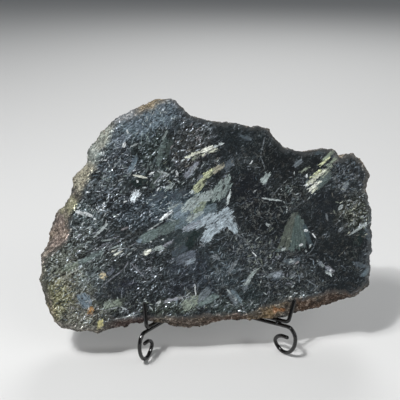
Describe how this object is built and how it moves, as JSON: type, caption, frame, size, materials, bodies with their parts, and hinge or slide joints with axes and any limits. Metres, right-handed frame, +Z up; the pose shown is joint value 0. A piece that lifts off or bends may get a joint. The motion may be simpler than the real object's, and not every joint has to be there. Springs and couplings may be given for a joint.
{
  "type": "polished stone slab on a wire easel",
  "caption": "Irregular thick nuummite slab with one flat polished face and a rough rind, leaning back on a small black wire easel with scroll feet and upturned prongs.",
  "frame": {"origin": "middle of the underside of the bounding box, on the surface the easel stands on", "axes": "+X to the viewer's right along the slab, +Y from the polished face towards the rear leg, +Z up"},
  "size_m": [0.2396, 0.1212, 0.1761],
  "materials": {
    "slab": "polished on the front face, rough brown rind around it",
    "left_leg": "gloss black lacquer",
    "right_leg": "gloss black lacquer",
    "left_hook": "gloss black lacquer",
    "right_hook": "gloss black lacquer",
    "cross_bar": "gloss black lacquer",
    "rear_leg": "gloss black lacquer"
  },
  "bodies": {
    "root": {"slab": "slab", "left_leg": "left_leg", "right_leg": "right_leg", "left_hook": "left_hook", "right_hook": "right_hook", "cross_bar": "cross_bar", "rear_leg": "rear_leg"}
  },
  "joints": []
}
